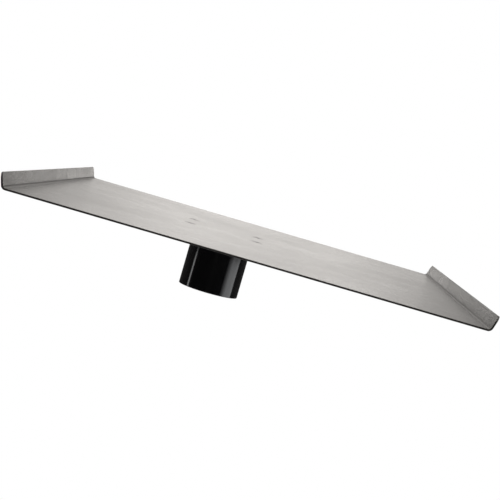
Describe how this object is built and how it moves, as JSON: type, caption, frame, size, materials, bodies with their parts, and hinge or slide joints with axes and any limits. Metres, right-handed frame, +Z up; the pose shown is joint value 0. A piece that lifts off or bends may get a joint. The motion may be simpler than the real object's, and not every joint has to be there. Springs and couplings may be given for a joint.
{
  "type": "tethering table",
  "caption": "Folded sheet-metal tray with two leaning lips on a round boss, which slips over a lighting stand's stud and locks with a lobed knob.",
  "frame": {"origin": "centre of the socket's mouth, at the bottom of the boss", "axes": "+Z up, square to the tray, +X towards the user's lip, +Y along the tray on the side of the lock knob"},
  "size_m": [0.3856, 0.49, 0.0681],
  "materials": {
    "tray_paint": "dark grey fine-wrinkle powder coat on sheet steel",
    "flange_paint": "satin black paint on steel plate",
    "boss_gloss": "gloss black coating on turned aluminium",
    "bushing_steel": "bright turned steel",
    "stop_nylon": "natural nylon",
    "screw_black": "black oxide on alloy steel",
    "zinc": "bright zinc plate on steel",
    "brass": "turned brass",
    "knob_plastic": "black moulded plastic with a fine grain"
  },
  "bodies": {
    "table": {"tray": "tray_paint", "flange_plate": "flange_paint", "boss_body": "boss_gloss", "socket_bushing": "bushing_steel", "stop_pad": "stop_nylon", "lock_insert": "bushing_steel", "boss_screw_1": "screw_black", "boss_screw_2": "screw_black", "boss_screw_3": "screw_black", "boss_screw_4": "screw_black", "tray_screw_1": "screw_black", "tray_screw_2": "screw_black", "tray_screw_3": "screw_black", "tray_screw_4": "screw_black", "tray_washer_1": "zinc", "tray_washer_2": "zinc", "tray_washer_3": "zinc", "tray_washer_4": "zinc", "tray_nut_1": "zinc", "tray_nut_2": "zinc", "tray_nut_3": "zinc", "tray_nut_4": "zinc"},
    "pad": {"thrust_pad": "brass"},
    "knob": {"knob_grip": "knob_plastic", "lock_screw": "zinc", "knob_insert": "brass", "knob_cap": "knob_plastic"}
  },
  "joints": [
    {"name": "pad_slide", "type": "slide", "parent": "table", "child": "pad", "axis": [0, -1, 0], "range_m": [-0.00125, 0.00375]},
    {"name": "knob_turn", "type": "hinge", "parent": "pad", "child": "knob", "pos_m": [0, 0, 0.02295], "axis": [0, -1, 0], "range_deg": [-360, 1080]}
  ],
  "couplings": [
    {"joint": "knob_turn", "follows": "pad_slide", "rad_per_m": 5026.5}
  ]
}
